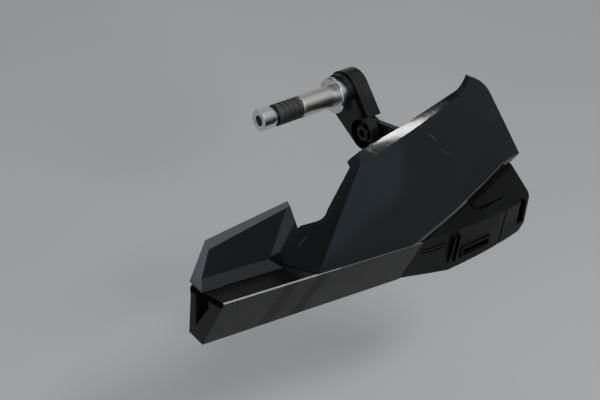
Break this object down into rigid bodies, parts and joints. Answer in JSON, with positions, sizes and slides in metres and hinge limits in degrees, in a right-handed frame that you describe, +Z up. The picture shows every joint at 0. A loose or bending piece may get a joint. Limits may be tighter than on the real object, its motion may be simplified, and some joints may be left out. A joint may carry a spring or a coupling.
{
  "type": "motorcycle hand guard",
  "caption": "Faceted hand guard for the left end of a handlebar: gloss shell round an open window, satin lower panel, vented outboard housing and a cast arm to the bar end.",
  "frame": {"origin": "on the handlebar's axis, at the plane of the handlebar's open end face", "axes": "X along the handlebar, +X outboard; -Y towards the front of the motorcycle; +Z up. The guard itself is turned 10 degrees about Z so that its outboard end sweeps forward of the handlebar's line"},
  "size_m": [0.2778, 0.1388, 0.1469],
  "materials": {
    "shell_gloss_black": "high gloss moulded black, lightly orange-peeled",
    "panel_satin_black": "satin moulded black",
    "housing_matte_black": "fine matte moulded black",
    "carrier_nylon": "dry glass-filled nylon, black",
    "bracket_black_coat": "cast, satin black powder coat",
    "arm_black_coat": "cast, satin black powder coat",
    "spacer_bright": "fine-turned, bare",
    "zinc_steel": "zinc plated",
    "bolt_black_oxide": "black oxide",
    "screw_black": "black zinc",
    "insert_brass": "turned and knurled",
    "sleeve_rubber": "moulded black rubber"
  },
  "bodies": {
    "root": {"upper_shell": "shell_gloss_black", "lower_panel": "panel_satin_black", "vent_housing": "housing_matte_black", "rear_carrier": "carrier_nylon", "guard_bracket": "bracket_black_coat", "bar_end_arm": "arm_black_coat", "bar_end_spacer": "spacer_bright", "bar_plug": "zinc_steel", "expander_sleeve": "sleeve_rubber", "expander_cone": "spacer_bright", "bar_end_bolt": "bolt_black_oxide", "bar_end_washer": "zinc_steel", "arm_bolt": "bolt_black_oxide", "arm_washer": "bolt_black_oxide", "arm_nut_washer": "zinc_steel", "arm_nut": "zinc_steel", "threaded_inserts": "insert_brass", "bracket_bolts": "zinc_steel", "bracket_washers": "zinc_steel", "shell_screws": "screw_black", "wing_screws": "screw_black", "panel_screws": "screw_black", "housing_screws": "screw_black"}
  },
  "joints": []
}
